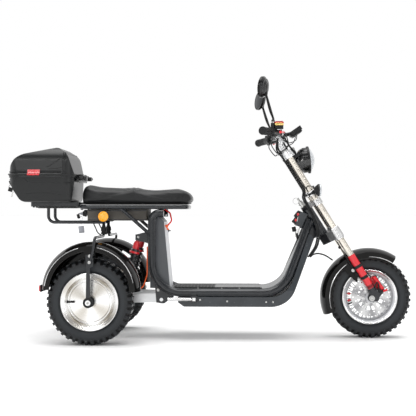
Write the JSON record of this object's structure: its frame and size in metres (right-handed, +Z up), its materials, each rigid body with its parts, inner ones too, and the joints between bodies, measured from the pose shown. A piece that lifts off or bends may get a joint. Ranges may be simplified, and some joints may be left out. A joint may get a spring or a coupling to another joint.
{
  "type": "electric trike",
  "caption": "Step-through electric trike with rear hub-motor wheels, raked sprung fork, long seat, upright battery, mudguards and a lidded top case.",
  "frame": {"origin": "ground point under the middle of the trike's overall length and width", "axes": "+X forward, +Y to the rider's left, +Z up"},
  "size_m": [2.062, 0.772, 1.3085],
  "materials": {
    "black_paint": "satin black powder coat",
    "gloss_black": "gloss black",
    "dark_plastic": "grained dark plastic",
    "black_case": "moulded black",
    "red_anodised": "red anodised",
    "silver": "polished cast aluminium",
    "bright": "bright plated",
    "steel": "brushed",
    "tyre": "moulded rubber",
    "rubber": "ribbed rubber",
    "seat_cover": "stitched black cover",
    "amber": "clear amber",
    "red_lens": "clear red",
    "lens": "clear",
    "red_cable": "red sheath",
    "grey_case": "dark grey"
  },
  "bodies": {
    "frame": {"frame_tubes": "black_paint", "head_tube": "black_paint", "floor_deck": "dark_plastic", "floor_mat": "rubber", "under_tray": "black_paint", "front_cover": "black_paint", "ignition_box": "dark_plastic", "seat_frame": "black_paint", "seat": "seat_cover", "controller_box": "grey_case", "battery_case": "grey_case", "battery_lead": "red_cable", "rear_rack": "black_paint", "case_tub": "black_case", "swingarm": "silver", "rear_axle": "steel", "rear_shocks": "red_anodised", "rear_guards": "gloss_black", "guard_stays": "black_paint", "side_lamps": "amber", "tail_reflectors": "red_lens", "rear_brake_hose": "red_cable"},
    "steering": {"steering_stem": "silver", "fork_tubes": "bright", "fork_lowers": "red_anodised", "fork_dropouts": "black_paint", "front_axle": "steel", "brake_caliper": "red_anodised", "front_guard": "gloss_black", "top_crown": "silver", "handlebar": "black_paint", "grips": "rubber", "brake_controls": "black_paint", "mirrors": "gloss_black", "display": "dark_plastic", "headlight": "gloss_black", "headlight_lens": "lens", "front_indicators": "black_paint", "steering_cables": "rubber"},
    "front_wheel": {"front_tyre": "tyre", "front_rim": "silver", "brake_disc": "steel"},
    "rear_wheel_right": {"rear_tyre_right": "tyre", "rear_hub_right": "bright"},
    "rear_wheel_left": {"rear_tyre_left": "tyre", "rear_hub_left": "bright"},
    "case_lid": {"case_lid": "black_case"},
    "peg_right": {"foot_peg_right": "silver"},
    "peg_left": {"foot_peg_left": "silver"}
  },
  "joints": [
    {"name": "steer", "type": "hinge", "parent": "frame", "child": "steering", "pos_m": [0.79241, 0, 0.19463], "axis": [-0.5299, 0, 0.848], "range_deg": [-35, 35], "deforming": ["steering_cables"]},
    {"name": "front_wheel_spin", "type": "hinge", "parent": "steering", "child": "front_wheel", "pos_m": [0.817, 0, 0.21], "axis": [0, 1, 0], "continuous": true},
    {"name": "rear_wheel_right_spin", "type": "hinge", "parent": "frame", "child": "rear_wheel_right", "pos_m": [-0.575, -0.292, 0.21], "axis": [0, 1, 0], "continuous": true},
    {"name": "rear_wheel_left_spin", "type": "hinge", "parent": "frame", "child": "rear_wheel_left", "pos_m": [-0.575, 0.292, 0.21], "axis": [0, 1, 0], "continuous": true},
    {"name": "case_lid_open", "type": "hinge", "parent": "frame", "child": "case_lid", "pos_m": [-0.656, 0, 0.828], "axis": [0, 1, 0], "range_deg": [0, 80]},
    {"name": "peg_right_fold", "type": "hinge", "parent": "frame", "child": "peg_right", "pos_m": [-0.078, -0.172, 0.208], "axis": [0, 0, 1], "range_deg": [0, 90]},
    {"name": "peg_left_fold", "type": "hinge", "parent": "frame", "child": "peg_left", "pos_m": [-0.078, 0.172, 0.208], "axis": [0, 0, -1], "range_deg": [0, 90]}
  ]
}
